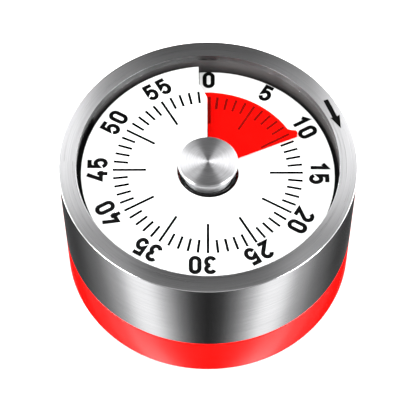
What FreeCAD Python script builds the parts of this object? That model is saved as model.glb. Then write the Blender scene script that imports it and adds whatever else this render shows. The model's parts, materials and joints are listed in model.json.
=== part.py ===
import FreeCAD, Part
import math
import os
import Sketcher

# Mechanical kitchen timer, 80 mm across and 44.4 mm high.
# Frame: origin at the centre of the underside, +Z up, millimetres.
# The 0-minute mark points to +Y and the minutes run clockwise seen from above.
# The steel sleeve, window, knob and main arbor turn together on the red base.
# A red film rides a splined hub and screws out through the slit of a helical dial.

os.makedirs("parts", exist_ok=True)
doc = FreeCAD.newDocument("kitchen_timer")
sheet = doc.addObject("Spreadsheet::Sheet", "Dims")

DIMENSIONS = [
    # envelope
    ("body_r", 40.0),
    ("total_height", 44.4),
    ("base_top", 15.6),
    ("base_gap", 0.3),
    ("rim_round", 0.3),
    ("rim_inner_r", 35.2),
    ("rim_fall", 0.03),
    ("sheet_steel", 0.7),
    ("run_gap", 0.3),
    # base and covers
    ("base_low", 0.5),
    ("base_wall", 2.5),
    ("ledge_r", 34.0),
    ("ledge_low", 12.3),
    ("cover_r", 33.3),
    ("cover_thick", 1.5),
    ("foot_inner_r", 22.0),
    ("foot_outer_r", 27.0),
    ("foot_groove", 0.3),
    ("cover_rise", 0.2),
    ("cover_screw_ring", 30.5),
    ("boss_r", 2.6),
    ("screw_r", 1.0),
    ("screw_head_r", 1.9),
    ("screw_head", 1.2),
    ("cover_screw_grip", 7.0),
    ("pillar_screw_grip", 4.0),
    ("carrier_screw_r", 0.6),
    ("carrier_screw_grip", 1.6),
    ("housing_screw_ring", 35.8),
    ("glide_thick", 0.4),
    # movement housing, liner
    ("housing_floor_z", 13.5),
    ("floor_thick", 1.5),
    ("housing_outer_r", 37.3),
    ("housing_inner_r", 36.4),
    ("housing_top", 41.8),
    ("housing_bore_r", 3.2),
    ("housing_haunch", 2.6),
    ("liner_inner_r", 35.5),
    ("liner_thick", 0.8),
    ("liner_low", 31.6),
    ("liner_gap_start", 242.0),
    ("liner_gap_end", 298.0),
    # window and knob
    ("window_low", 42.1),
    ("window_thick", 1.1),
    ("knob_r", 8.1),
    ("knob_bevel", 0.35),
    ("glue_gap", 0.03),
    ("neck_r", 6.7),
    ("neck_low", 38.7),
    ("hub_r", 5.2),
    ("hub_low", 29.8),
    ("stud_r", 1.5),
    ("stud_grip", 3.0),
    # dial and film
    ("dial_r", 34.1),
    ("dial_inner_r", 8.3),
    ("dial_low", 38.1),
    ("dial_pitch", 2.8),
    ("dial_thick", 0.5),
    ("slit_gap", 0.25),
    ("film_r", 26.8),
    ("film_inner_r", 7.5),
    ("film_thick", 0.3),
    ("film_lift", 0.2),
    ("film_drift", 0.85),
    ("film_turn", 355.0),
    ("setting", 64.5),
    ("film_hub_low", 33.2),
    ("film_hub_height", 6.0),
    ("film_key_height", 1.6),
    ("key_half", 0.7),
    ("groove_depth", 1.2),
    ("carrier_low", 30.3),
    ("carrier_thick", 1.2),
    ("carrier_bore_r", 9.2),
    ("ramp_inner_r", 29.2),
    # movement plates
    ("lower_plate_z", 15.0),
    ("upper_plate_z", 27.8),
    ("plate_thick", 1.2),
    ("main_bush_r", 3.6),
    ("train_bush_r", 1.5),
    ("plate_r", 33.4),
    ("pillar_ring", 31.0),
    ("pillar_r", 1.9),
    # main arbor group
    ("arbor_r", 1.6),
    ("arbor_in_hub", 5.0),
    ("ratchet_z", 21.8),
    ("ratchet_r", 5.6),
    ("cam_z", 26.5),
    ("cam_r", 4.2),
    ("cam_nose_r", 6.4),
    ("spring_post_r", 0.9),
    ("spring_z", 16.9),
    ("spring_height", 4.4),
    ("spring_outer_r", 12.4),
    ("spring_strip", 0.3),
    # gear train
    ("main_teeth", 80.0),
    ("second_teeth", 60.0),
    ("third_teeth", 50.0),
    ("pinion_teeth", 10.0),
    ("main_module", 0.4),
    ("second_module", 0.35),
    ("third_module", 0.32),
    ("wheel_thick", 1.0),
    ("main_wheel_z", 23.0),
    ("second_wheel_z", 25.2),
    ("third_wheel_z", 18.2),
    ("train_arbor_r", 0.8),
    ("pivot_step", 0.3),
    ("pinion_height", 1.8),
    ("pinion_margin", 0.4),
    ("click_pivot_r", 0.75),
    # escapement
    ("escape_teeth", 15.0),
    ("escape_r", 6.5),
    ("escape_z", 21.0),
    ("pallet_span", 84.0),
    ("pallet_pin_r", 0.33),
    ("balance_r", 6.8),
    ("balance_z", 25.2),
    ("balance_thick", 1.2),
    ("balance_rim", 1.2),
    ("pallet_thick", 0.8),
    # strike work
    ("bell_r", 25.0),
    ("bell_low", 3.4),
    ("bell_height", 8.8),
    ("bell_wall", 0.9),
    ("bell_round", 2.5),
    ("bell_post_r", 3.6),
    ("bell_thread_r", 1.55),
    ("hammer_ring", 21.5),
    ("hammer_angle", 70.0),
    ("hammer_rod_r", 0.75),
    ("hammer_head_r", 2.2),
    ("hammer_head_height", 5.0),
    ("hammer_window_r", 4.2),
    ("hammer_stud_r", 1.2),
    ("strike_thick", 0.9),
    ("strike_bite", 0.3),
    ("hammer_pivot_ring", 13.5),
    ("hammer_pivot_angle", 110.0),
]
for row, (alias, value) in enumerate(DIMENSIONS, start=1):
    sheet.set(f"A{row}", alias)
    sheet.set(f"B{row}", str(value))
    sheet.setAlias(f"B{row}", alias)
doc.recompute()


def dim(alias):
    """Value of one driving dimension."""
    return float(sheet.get(alias))


def value_of(text):
    """Value of a sum of dimensions, such as 'body_r - sheet_steel' or '12.5'."""
    total = 0.0
    sign = 1.0
    for word in text.split():
        if word in "+-":
            sign = 1.0 if word == "+" else -1.0
            continue
        factor = 1.0
        if "*" in word:
            number, word = word.split("*")
            factor = float(number)
        term = float(word) if word[0].isdigit() else dim(word)
        total += sign * factor * term
    return total


def is_driven(text):
    """Whether a sum names a dimension."""
    return any(letter.isalpha() for letter in text)


def formula(text):
    """The same sum written as a spreadsheet expression."""
    words = []
    for word in text.split():
        if word in "+-" or word[0].isdigit() and "*" not in word:
            words.append(word)
        elif "*" in word:
            number, alias = word.split("*")
            words.append(f"{number} * Dims.{alias}")
        else:
            words.append(f"Dims.{word}")
    return " ".join(words)


def polar(radius, degrees):
    """Plan position at a radius and a counter-clockwise angle from +X."""
    angle = math.radians(degrees)
    return radius * math.cos(angle), radius * math.sin(angle)


def clock(radius, degrees):
    """Plan position at a radius and a clockwise angle from the 0-minute mark."""
    return polar(radius, 90.0 - degrees)


parts = []


def new_body(name, low="0", spot=(0.0, 0.0), turn=0.0):
    """An empty body standing at a height given by dimensions."""
    body = doc.addObject("PartDesign::Body", name)
    body.Label = name
    body.AllowCompound = True
    rotation = FreeCAD.Rotation(FreeCAD.Vector(0, 0, 1), turn)
    position = FreeCAD.Vector(spot[0], spot[1], value_of(low))
    body.Placement = FreeCAD.Placement(position, rotation)
    body.setExpression("Placement.Base.z", f"({formula(low)}) * 1 mm")
    parts.append(body)
    return body


def new_sketch(body, role, lift="0"):
    """A sketch on one of the body's own origin planes, raised by a distance."""
    count = len(body.Group)
    sketch = body.newObject("Sketcher::SketchObject", f"{body.Name}_sketch{count}")
    plane = [f for f in body.Origin.OriginFeatures if f.Role == role][0]
    sketch.AttachmentSupport = [(plane, "")]
    sketch.MapMode = "FlatFace"
    if lift != "0":
        sketch.AttachmentOffset = FreeCAD.Placement(
            FreeCAD.Vector(0, 0, value_of(lift)), FreeCAD.Rotation()
        )
        sketch.setExpression("AttachmentOffset.Base.z", f"({formula(lift)}) * 1 mm")
    return sketch


def draw_loop(sketch, points):
    """A closed loop of straight edges through plain points."""
    edges = []
    for start, end in zip(points, points[1:] + points[:1]):
        line = Part.LineSegment(
            FreeCAD.Vector(start[0], start[1], 0), FreeCAD.Vector(end[0], end[1], 0)
        )
        edges.append(line)
    sketch.addGeometry(edges, False)


def draw_driven_loop(sketch, corners):
    """A closed loop whose corners are held by driving dimensions."""
    points = [(value_of(across), value_of(up)) for across, up in corners]
    first = sketch.GeometryCount
    draw_loop(sketch, points)
    count = len(points)
    links = []
    for index in range(count):
        links.append(
            Sketcher.Constraint(
                "Coincident", first + index, 2, first + (index + 1) % count, 1
            )
        )
    sketch.addConstraint(links)
    for index, (across, up) in enumerate(corners):
        for kind, text, axis in (("DistanceX", across, -2), ("DistanceY", up, -1)):
            size = value_of(text)
            if abs(size) < 1e-9:
                sketch.addConstraint(
                    Sketcher.Constraint("PointOnObject", first + index, 1, axis)
                )
                continue
            mark = sketch.addConstraint(
                Sketcher.Constraint(kind, -1, 1, first + index, 1, size)
            )
            if is_driven(text):
                sketch.setExpression(f"Constraints[{mark}]", f"({formula(text)}) * 1 mm")


def draw_circles(sketch, radius, spots):
    """Circles of one driven radius at plain plan positions."""
    for spot in spots:
        index = sketch.addGeometry(
            Part.Circle(
                FreeCAD.Vector(spot[0], spot[1], 0), FreeCAD.Vector(0, 0, 1),
                value_of(radius)
            ),
            False,
        )
        mark = sketch.addConstraint(
            Sketcher.Constraint("Radius", index, value_of(radius))
        )
        if is_driven(radius):
            sketch.setExpression(f"Constraints[{mark}]", f"({formula(radius)}) * 1 mm")


def turned(name, corners, low="0", spot=(0.0, 0.0)):
    """A turned piece: a closed profile revolved about the vertical axis."""
    body = new_body(name, low, spot)
    sketch = new_sketch(body, "XZ_Plane")
    draw_driven_loop(sketch, corners)
    spin = body.newObject("PartDesign::Revolution", f"{name}_turning")
    spin.Profile = sketch
    spin.ReferenceAxis = (sketch, ["V_Axis"])
    spin.Angle = 360.0
    return body


def pad(body, sketch, length):
    """Raise a sketch by a driven length."""
    feature = body.newObject("PartDesign::Pad", f"{body.Name}_pad{len(body.Group)}")
    feature.Profile = sketch
    feature.Length = value_of(length)
    feature.setExpression("Length", f"({formula(length)}) * 1 mm")
    return feature


def round_pads(body, steps):
    """Stack discs or rings: each step is (radii, spots, lift, length)."""
    for radii, spots, lift, length in steps:
        sketch = new_sketch(body, "XY_Plane", lift)
        for radius in radii:
            draw_circles(sketch, radius, spots)
        pad(body, sketch, length)
    return body


def cut_through(body, sketch):
    """Cut a sketch right through a body."""
    cut = body.newObject("PartDesign::Pocket", f"{body.Name}_cut{len(body.Group)}")
    cut.Profile = sketch
    cut.Type = "ThroughAll"
    cut.Midplane = True
    return cut


def drill(body, radius, spots):
    """Round holes right through a body."""
    sketch = new_sketch(body, "XY_Plane")
    draw_circles(sketch, radius, spots)
    return cut_through(body, sketch)


def outline_pad(name, points, length, low, spot=(0.0, 0.0), turn=0.0, bore=None):
    """A flat piece padded from a worked-out outline, with an optional centre bore."""
    body = new_body(name, low, spot, turn)
    sketch = new_sketch(body, "XY_Plane")
    draw_loop(sketch, points)
    if bore:
        draw_circles(sketch, bore, [(0.0, 0.0)])
    pad(body, sketch, length)
    return body


PRESSURE_ANGLE = math.radians(20.0)
ROOT_DEPTH = 1.25
TIP_HEIGHT = 0.8
TOOTH_THINNING = 0.22


def tooth_outline(teeth, module):
    """Outline of a spur wheel with thinned involute teeth; one tooth is centred on +X."""
    pitch_r = module * teeth / 2.0
    base_r = pitch_r * math.cos(PRESSURE_ANGLE)
    root_r = pitch_r - ROOT_DEPTH * module
    tip_r = pitch_r + TIP_HEIGHT * module
    half_pitch_angle = math.pi / teeth / 2.0 * (1.0 - TOOTH_THINNING)

    def half_angle(radius):
        if radius <= base_r:
            local = 0.0
        else:
            local = math.acos(base_r / radius)
        spread = math.tan(PRESSURE_ANGLE) - PRESSURE_ANGLE
        return half_pitch_angle + spread - (math.tan(local) - local)

    middle_r = max(base_r, (root_r + pitch_r) / 2.0)
    radii = [root_r, middle_r, pitch_r, tip_r]
    points = []
    for tooth in range(int(teeth)):
        centre = 2.0 * math.pi * tooth / teeth
        for radius in radii:
            angle = centre - half_angle(radius)
            points.append((radius * math.cos(angle), radius * math.sin(angle)))
        for radius in reversed(radii):
            angle = centre + half_angle(radius)
            points.append((radius * math.cos(angle), radius * math.sin(angle)))
    return points


def ring_spots(radius, angles):
    """Plan positions round a ring."""
    return [polar(radius, angle) for angle in angles]


def bar(inner, outer, half, angle):
    """Corners of a straight bar that points outwards at an angle."""
    swing = math.radians(angle)
    corners = [(inner, -half), (outer, -half), (outer, half), (inner, half)]
    return [
        (x * math.cos(swing) - y * math.sin(swing), x * math.sin(swing) + y * math.cos(swing))
        for x, y in corners
    ]


CENTRE = [(0.0, 0.0)]
PILLAR_ANGLES = (10.0, 92.0, 180.0, 232.0, 315.0)
FOUR_ANGLES = (45.0, 135.0, 225.0, 315.0)
THREE_ANGLES = (30.0, 150.0, 270.0)
KEY_ANGLES = (90.0, 210.0, 330.0)


def mesh_distance(wheel):
    """Centre distance of a wheel and the pinion it drives."""
    return dim(f"{wheel}_module") * (dim(f"{wheel}_teeth") + dim("pinion_teeth")) / 2


# Gear train layout: each arbor is found from the centre distance of its mesh.
pallet_half_span = math.radians(dim("pallet_span") / 2)
pallet_distance = dim("escape_r") / math.cos(pallet_half_span)
SECOND_RING = mesh_distance("main")
THIRD_RING = 22.0
ESCAPE_RING = 24.0
SECOND_ANGLE = -30.0


def step_angle(ring_a, ring_b, distance):
    """Angle at the centre between two arbors a known distance apart."""
    cosine = (ring_a**2 + ring_b**2 - distance**2) / (2 * ring_a * ring_b)
    return math.degrees(math.acos(cosine))


third_angle = SECOND_ANGLE - step_angle(SECOND_RING, THIRD_RING, mesh_distance("second"))
escape_angle = third_angle - step_angle(THIRD_RING, ESCAPE_RING, mesh_distance("third"))
balance_angle = escape_angle - step_angle(ESCAPE_RING, ESCAPE_RING, pallet_distance)
second_spot = polar(SECOND_RING, SECOND_ANGLE)
third_spot = polar(THIRD_RING, third_angle)
escape_spot = polar(ESCAPE_RING, escape_angle)
balance_spot = polar(ESCAPE_RING, balance_angle)
hammer_pivot = polar(dim("hammer_pivot_ring"), dim("hammer_pivot_angle"))
hammer_tip = polar(dim("hammer_ring"), dim("hammer_angle"))
train_spots = [second_spot, third_spot, escape_spot, balance_spot]


def heading(start, end):
    """Counter-clockwise angle of the line from one spot to another."""
    return math.degrees(math.atan2(end[1] - start[1], end[0] - start[0]))


# ---------------------------------------------------------------- red base
cover_seat = "cover_thick + cover_rise"
base_cup = turned("base_cup", [
    ("cover_r + cover_rise", "0"),
    ("body_r", "0"),
    ("body_r", "base_top - base_low"),
    ("body_r - base_wall", "base_top - base_low"),
    ("body_r - base_wall", "housing_floor_z - base_low"),
    ("ledge_r", "housing_floor_z - base_low"),
    ("ledge_r", "ledge_low - base_low"),
    ("body_r - base_wall", "ledge_low - base_low"),
    ("body_r - base_wall", cover_seat),
    ("cover_r + cover_rise", cover_seat),
], "base_low")
boss_spots = ring_spots(dim("cover_screw_ring"), THREE_ANGLES)
sketch = new_sketch(base_cup, "XY_Plane", cover_seat)
boss_inner = dim("cover_screw_ring") - dim("boss_r")
boss_outer = dim("body_r") - dim("base_wall") / 2
for angle in THREE_ANGLES:
    draw_loop(sketch, bar(boss_inner, boss_outer, dim("boss_r"), angle))
pad(base_cup, sketch, "ledge_low - base_low - cover_thick - cover_rise")
housing_screw_spots = ring_spots(dim("housing_screw_ring"), FOUR_ANGLES)
drill(base_cup, "screw_head_r", housing_screw_spots)
sketch = new_sketch(base_cup, "XY_Plane", "ledge_low - base_low")
draw_circles(sketch, "screw_head_r", housing_screw_spots)
draw_circles(sketch, "screw_r", housing_screw_spots)
pad(base_cup, sketch, "housing_floor_z - ledge_low")
drill(base_cup, "screw_r", boss_spots)

bottom_cover = turned("bottom_cover", [
    ("0", "0"),
    ("foot_inner_r", "0"),
    ("foot_inner_r", "foot_groove"),
    ("foot_outer_r", "foot_groove"),
    ("foot_outer_r", "0"),
    ("cover_r", "0"),
    ("cover_r", "cover_thick"),
    ("0", "cover_thick"),
], "base_low + cover_rise")
drill(bottom_cover, "screw_r", boss_spots)

turned("foot_ring", [
    ("foot_inner_r + glue_gap", "0"),
    ("foot_outer_r - glue_gap", "0"),
    ("foot_outer_r - glue_gap", "base_low + cover_rise + foot_groove"),
    ("foot_inner_r + glue_gap", "base_low + cover_rise + foot_groove"),
])

cover_screws = new_body("cover_screws", "cover_rise")
round_pads(cover_screws, [
    (["screw_head_r"], boss_spots, "0", "base_low"),
    (["screw_r"], boss_spots, "base_low", "cover_screw_grip"),
])

housing_screws = new_body("housing_screws", "ledge_low - screw_head")
round_pads(housing_screws, [
    (["screw_head_r - 0.1"], housing_screw_spots, "0", "screw_head"),
    (["screw_r"], housing_screw_spots, "screw_head", "housing_floor_z + 1.4 - ledge_low"),
])

turned("glide_ring", [
    ("housing_outer_r + run_gap", "0"),
    ("body_r - sheet_steel - glide_thick", "0"),
    ("body_r - sheet_steel - glide_thick", "glide_thick"),
    ("housing_outer_r + run_gap", "glide_thick"),
], "base_top")

# ---------------------------------------------------------------- movement housing
housing = turned("movement_housing", [
    ("housing_bore_r", "0"),
    ("housing_outer_r", "0"),
    ("housing_outer_r", "housing_top - housing_floor_z"),
    ("housing_inner_r", "housing_top - housing_floor_z"),
    ("housing_inner_r", "carrier_low - housing_floor_z"),
    ("plate_r + 0.4", "carrier_low - housing_floor_z"),
    ("housing_inner_r", "carrier_low - housing_floor_z - housing_haunch"),
    ("housing_inner_r", "floor_thick"),
    ("housing_bore_r", "floor_thick"),
], "housing_floor_z")
drill(housing, "hammer_window_r", [hammer_tip])
drill(housing, "screw_r", housing_screw_spots)

liner_outer = "liner_inner_r + liner_thick"
wall_liner = new_body("wall_liner", "liner_low")
sketch = new_sketch(wall_liner, "XY_Plane")
liner_start = 90.0 - dim("liner_gap_start")
liner_sweep = 360.0 - (dim("liner_gap_end") - dim("liner_gap_start"))
LINER_STEPS = 96
inner_line = []
outer_line = []
for step in range(LINER_STEPS + 1):
    angle = liner_start + liner_sweep * step / LINER_STEPS
    inner_line.append(polar(dim("liner_inner_r"), angle))
    outer_line.append(polar(value_of(liner_outer), angle))
draw_loop(sketch, outer_line + inner_line[::-1])
pad(wall_liner, sketch, "housing_top - liner_low - 0.1")

# ---------------------------------------------------------------- bell
bell_bore = "bell_thread_r + 0.05"
turned("bell_cup", [
    (bell_bore, "0"),
    ("bell_r - bell_round", "0"),
    ("bell_r", "bell_round"),
    ("bell_r", "bell_height"),
    ("bell_r - bell_wall", "bell_height"),
    ("bell_r - bell_wall", "bell_round + 0.4"),
    ("bell_r - bell_round - 0.4", "bell_wall"),
    (bell_bore, "bell_wall"),
], "bell_low")
# The post stands on the bell's thickness and runs up into the housing bore.
nut_thick = "bell_wall - 0.05"
post_shoulder = "housing_floor_z - bell_low + bell_wall"
post_top = "housing_floor_z - bell_low + bell_wall + floor_thick - 0.1"
turned("bell_post", [
    ("0", "0"),
    ("bell_thread_r", "0"),
    ("bell_thread_r", "2*bell_wall"),
    ("bell_post_r", "2*bell_wall"),
    ("bell_post_r", post_shoulder),
    ("housing_bore_r - 0.05", post_shoulder),
    ("housing_bore_r - 0.05", post_top),
    ("0", post_top),
], "bell_low - bell_wall")
NUT_CORNER_R = 3.2
bell_nut = new_body("bell_nut", "bell_low - bell_wall")
sketch = new_sketch(bell_nut, "XY_Plane")
draw_loop(sketch, [polar(NUT_CORNER_R, 60.0 * side) for side in range(6)])
draw_circles(sketch, bell_bore, CENTRE)
pad(bell_nut, sketch, nut_thick)

# ---------------------------------------------------------------- movement plates
pillar_spots = ring_spots(dim("pillar_ring"), PILLAR_ANGLES)
SPRING_ANCHOR_ANGLE = 200.0
spring_post_ring = value_of("spring_outer_r + spring_strip + spring_post_r + 0.1")
spring_post_spot = polar(spring_post_ring, SPRING_ANCHOR_ANGLE)
for name, low in (("lower_plate", "lower_plate_z"), ("upper_plate", "upper_plate_z")):
    plate = new_body(name, low)
    sketch = new_sketch(plate, "XY_Plane")
    draw_circles(sketch, "plate_r", CENTRE)
    draw_circles(sketch, "main_bush_r", CENTRE)
    draw_circles(sketch, "train_bush_r", train_spots)
    draw_circles(sketch, "screw_r", pillar_spots)
    if name == "upper_plate":
        draw_circles(sketch, "hammer_stud_r", [hammer_pivot])
    else:
        draw_circles(sketch, "hammer_window_r", [hammer_tip])
        draw_circles(sketch, "spring_post_r", [spring_post_spot])
    pad(plate, sketch, "plate_thick")

plate_space = "upper_plate_z - lower_plate_z - plate_thick"
pillars = new_body("plate_pillars", "lower_plate_z + plate_thick")
round_pads(pillars, [(["pillar_r", "screw_r"], pillar_spots, "0", plate_space)])
PILLAR_HEAD = "0.8"
upper_screws = new_body("upper_pillar_screws", "upper_plate_z - pillar_screw_grip")
round_pads(upper_screws, [
    (["screw_r"], pillar_spots, "0", "pillar_screw_grip + plate_thick"),
    (["screw_head_r"], pillar_spots, "pillar_screw_grip + plate_thick", PILLAR_HEAD),
])
lower_screws = new_body("lower_pillar_screws", "lower_plate_z")
round_pads(lower_screws, [(["screw_r"], pillar_spots, "0", "plate_thick + pillar_screw_grip")])


def bushes(name, radii, spots):
    """Bushes of one kind in both plates."""
    body = new_body(name, "lower_plate_z")
    round_pads(body, [
        (radii, spots, "0", "plate_thick"),
        (radii, spots, "upper_plate_z - lower_plate_z", "plate_thick"),
    ])


bushes("train_bushes", ["train_bush_r", "train_arbor_r - pivot_step + 0.05"], train_spots)
bushes("main_bushes", ["main_bush_r", "arbor_r + 0.05"], CENTRE)

# ---------------------------------------------------------------- dial
# The slit runs straight out along +Y and then steps aside round the 0 figure.
SLIT_CURVE = [(0.0, 23.3), (-0.45, 24.4), (-1.0, 25.6), (-1.75, 26.9), (-2.4, 28.1)]
slit_start_y = SLIT_CURVE[0][1]
slit_side_x = SLIT_CURVE[-1][0]
slit_edge = SLIT_CURVE + [(slit_side_x, math.sqrt(dim("dial_r")**2 - slit_side_x**2))]


def helical_sheet(body, inner, outer, thick, turns):
    """A helical sheet that climbs clockwise from the +Y side."""
    profile = new_sketch(body, "YZ_Plane")
    draw_driven_loop(profile, [(inner, "0"), (outer, "0"), (outer, thick), (inner, thick)])
    sweep = body.newObject("PartDesign::AdditiveHelix", f"{body.Name}_sweep")
    sweep.Profile = profile
    sweep.ReferenceAxis = (profile, ["V_Axis"])
    sweep.Mode = "pitch-turns-angle"
    sweep.Pitch = dim("dial_pitch")
    sweep.setExpression("Pitch", "Dims.dial_pitch * 1 mm")
    sweep.Turns = turns
    sweep.LeftHanded = True
    sweep.Angle = 0.0
    return sweep


NEARLY_ONE_TURN = 0.9995
CUT_SIDE_X = 1.0
dial_plate = new_body("dial_plate", "dial_low - dial_thick")
helical_sheet(dial_plate, "dial_inner_r", "dial_r", "dial_thick", NEARLY_ONE_TURN)
sketch = new_sketch(dial_plate, "XY_Plane", "dial_pitch + 2.0")
gap = dim("slit_gap")
cut_inner_y = value_of("dial_inner_r - 1.3")
cut_outer_y = value_of("dial_r + 1.9")
flap_cut = [(-gap, cut_inner_y)]
flap_cut += [(x - gap, y) for x, y in slit_edge]
flap_cut += [(slit_side_x - gap, cut_outer_y), (CUT_SIDE_X, cut_outer_y)]
flap_cut += [(CUT_SIDE_X, slit_start_y), (CUT_SIDE_X, cut_inner_y)]
draw_loop(sketch, flap_cut)
trim = dial_plate.newObject("PartDesign::Pocket", "dial_plate_flap_trim")
trim.Profile = sketch
trim.Length = dim("dial_pitch")
trim.setExpression("Length", "Dims.dial_pitch * 1 mm")
TONGUE_ROOT_X = 0.3
sketch = new_sketch(dial_plate, "XY_Plane")
tongue = slit_edge + [(TONGUE_ROOT_X, dim("dial_r") - 0.01), (TONGUE_ROOT_X, slit_start_y)]
draw_loop(sketch, tongue)
pad(dial_plate, sketch, "dial_thick")

# The carrier has a ramp of steps that follows the dial's underside.
carrier = new_body("dial_carrier", "carrier_low")
round_pads(carrier, [
    (["housing_inner_r - 0.1", "carrier_bore_r"], CENTRE, "0", "carrier_thick"),
])
RAMP_STEPS = 24
RAMP_SWEEP = 353.0
ramp_outer_r = value_of("dial_r - 0.6")
for step in range(RAMP_STEPS):
    angles = [RAMP_SWEEP * (step + half) / RAMP_STEPS for half in (0.0, 0.5, 1.0)]
    loop = [clock(ramp_outer_r, angle) for angle in angles]
    loop += [clock(dim("ramp_inner_r"), angle) for angle in reversed(angles)]
    sketch = new_sketch(carrier, "XY_Plane", "carrier_thick")
    draw_loop(sketch, loop)
    share = angles[0] / 360.0
    pad(carrier, sketch,
        "dial_low - dial_thick - carrier_low - carrier_thick - 0.02"
        f" + {share:.6f}*dial_pitch")
carrier_screw_spots = ring_spots(dim("plate_r") + 2.0, FOUR_ANGLES)
drill(carrier, "carrier_screw_r", carrier_screw_spots)
drill(housing, "carrier_screw_r", carrier_screw_spots)
carrier_screws = new_body("carrier_screws", "carrier_low - carrier_screw_grip")
round_pads(carrier_screws, [
    (["carrier_screw_r"], carrier_screw_spots, "0", "carrier_screw_grip + carrier_thick"),
])

# ---------------------------------------------------------------- turning sleeve
# The flat rim falls by a hair towards its rounded outer edge.
sleeve_height = "total_height - base_top - base_gap"
rim_edge_height = sleeve_height + " - rim_fall"
lip_bottom = "window_low - base_top - base_gap"
steel_sleeve = turned("steel_sleeve", [
    ("body_r - sheet_steel", "0"),
    ("body_r", "0"),
    ("body_r", rim_edge_height),
    ("rim_inner_r", sleeve_height),
    ("rim_inner_r", lip_bottom),
    ("rim_inner_r + sheet_steel", lip_bottom),
    ("rim_inner_r + sheet_steel", sleeve_height + " - sheet_steel"),
    ("body_r - 2*sheet_steel", sleeve_height + " - sheet_steel"),
    ("body_r - sheet_steel", sleeve_height + " - 2*sheet_steel"),
], "base_top + base_gap")
doc.recompute()


def edge_name(body, radius, height):
    """Name of the round edge with this radius at this height inside the body."""
    shape = body.Tip.Shape
    for index, edge in enumerate(shape.Edges, start=1):
        curve = edge.Curve
        if not isinstance(curve, Part.Circle):
            continue
        same_size = abs(curve.Radius - radius) < 1e-4
        same_level = abs(edge.BoundBox.ZMax - height) < 1e-4
        if same_size and same_level:
            return f"Edge{index}"
    raise RuntimeError(f"{body.Label}: no edge of radius {radius} at {height}")


def round_edge(body, radius_text, height_text, size_text):
    """Round one turned edge by a driven radius."""
    doc.recompute()
    name = edge_name(body, value_of(radius_text), value_of(height_text))
    base = body.Tip
    fillet = body.newObject("PartDesign::Fillet", f"{body.Name}_round{len(body.Group)}")
    fillet.Base = (base, [name])
    fillet.Radius = value_of(size_text)
    fillet.setExpression("Radius", f"({formula(size_text)}) * 1 mm")
    return fillet


round_edge(steel_sleeve, "body_r", rim_edge_height, "rim_round")

# The plastic carrier lines the sleeve and stands 0.2 mm above its lower edge.
liner_bore = "housing_outer_r + run_gap"
liner_skin = "body_r - sheet_steel - 0.02"
liner_lip = "rim_inner_r + sheet_steel + glue_gap"
liner_high = "total_height - sheet_steel - base_top - base_gap - 0.22"
liner_shelf = "window_low - base_top - base_gap - 0.15"
turned("sleeve_carrier", [
    (liner_bore, "0"),
    (liner_skin, "0"),
    (liner_skin, liner_high + " - sheet_steel - glue_gap"),
    ("body_r - 2*sheet_steel - glue_gap", liner_high),
    (liner_lip, liner_high),
    (liner_lip, liner_shelf),
    (liner_bore, liner_shelf),
], "base_top + base_gap + 0.2")

turned("window", [
    ("neck_r + glue_gap", "0"),
    ("rim_inner_r - glue_gap", "0"),
    ("rim_inner_r - glue_gap", "window_thick"),
    ("neck_r + glue_gap", "window_thick"),
], "window_low")

knob_height = "total_height - window_low - window_thick - glue_gap"
turned("knob_cap", [
    ("0", "0"),
    ("knob_r - knob_bevel", "0"),
    ("knob_r", "knob_bevel"),
    ("knob_r", knob_height + " - knob_bevel"),
    ("knob_r - knob_bevel", knob_height),
    ("0", knob_height),
], "window_low + window_thick + glue_gap")

neck_height = "window_low + window_thick - neck_low"
turned("knob_neck", [
    ("stud_r + glue_gap", "0"),
    ("neck_r", "0"),
    ("neck_r", neck_height),
    ("stud_r + glue_gap", neck_height),
], "neck_low")

turned("knob_stud", [
    ("0", "0"),
    ("stud_r", "0"),
    ("stud_r", neck_height + " + stud_grip"),
    ("0", neck_height + " + stud_grip"),
], "neck_low - stud_grip")

# Three grooves down the hub take the film hub's keys; its foot is bored for the arbor.
drive_hub = new_body("drive_hub", "hub_low")
sketch = new_sketch(drive_hub, "XY_Plane")
draw_circles(sketch, "hub_r", CENTRE)
draw_circles(sketch, "stud_r + glue_gap", CENTRE)
pad(drive_hub, sketch, "neck_low - hub_low - glue_gap")
sketch = new_sketch(drive_hub, "XY_Plane")
groove_inner = value_of("hub_r - groove_depth")
groove_outer = value_of("hub_r + 1.0")
for angle in KEY_ANGLES:
    draw_loop(sketch, bar(groove_inner, groove_outer, value_of("key_half + 0.15"), angle))
cut_through(drive_hub, sketch)
sketch = new_sketch(drive_hub, "XY_Plane")
draw_circles(sketch, "arbor_r", CENTRE)
bore = drive_hub.newObject("PartDesign::Pocket", "drive_hub_bore")
bore.Profile = sketch
bore.Length = value_of("arbor_in_hub + 0.05")
bore.setExpression("Length", f"({formula('arbor_in_hub + 0.05')}) * 1 mm")
bore.Reversed = True

turned("main_arbor", [
    ("0", "0"),
    ("arbor_r", "0"),
    ("arbor_r", "hub_low - lower_plate_z + arbor_in_hub"),
    ("0", "hub_low - lower_plate_z + arbor_in_hub"),
], "lower_plate_z")

# ---------------------------------------------------------------- red film
# The tail of the film hangs below the slit by the part of a turn that is still unwound.
tail_share = (dim("film_turn") - dim("setting")) / 360.0
red_film = new_body(
    "red_film", f"dial_low + film_lift - {tail_share:.6f}*dial_pitch",
    turn=dim("film_turn") - dim("setting"),
)
film_share = dim("film_turn") / 360.0
helical_sheet(red_film, "film_inner_r", "film_r", "film_thick", film_share)
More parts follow.
